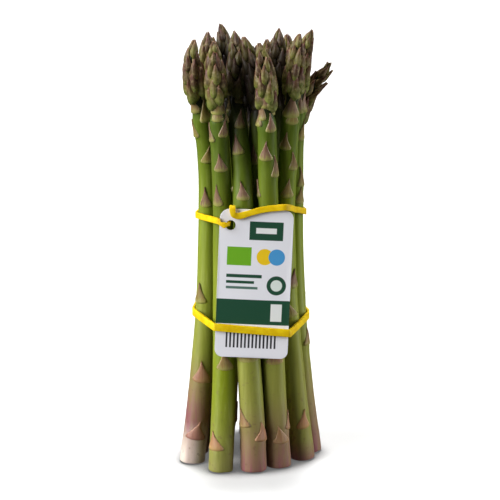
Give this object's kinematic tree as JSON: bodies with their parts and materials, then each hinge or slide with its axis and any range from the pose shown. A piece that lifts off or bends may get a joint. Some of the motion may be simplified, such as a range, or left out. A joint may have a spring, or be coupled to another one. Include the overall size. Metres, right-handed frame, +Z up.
{
  "type": "bundle of asparagus",
  "caption": "Upright bundle of green asparagus spears on their cut ends, tied by two flat yellow rubber bands with a punched card tag on the front.",
  "frame": {"origin": "middle of the cut end of the middle spear, on the surface that the bundle stands on", "axes": "+Z up along the bundle, towards the tips; -Y is the front, where the card tag hangs; +X is to the right seen from the front"},
  "size_m": [0.0834, 0.0765, 0.24],
  "materials": {
    "spear": "waxy fresh plant skin",
    "rubber_band": "smooth matt yellow",
    "card": "coated printed card"
  },
  "bodies": {
    "root": {"spear_01": "spear", "spear_02": "spear", "spear_03": "spear", "spear_04": "spear", "spear_05": "spear", "spear_06": "spear", "spear_07": "spear", "spear_08": "spear", "spear_09": "spear", "spear_10": "spear", "spear_11": "spear", "spear_12": "spear", "spear_13": "spear", "spear_14": "spear", "spear_15": "spear", "spear_16": "spear", "spear_17": "spear", "spear_18": "spear", "rubber_band_lower": "rubber_band", "rubber_band_upper": "rubber_band", "card_tag": "card"}
  },
  "joints": []
}
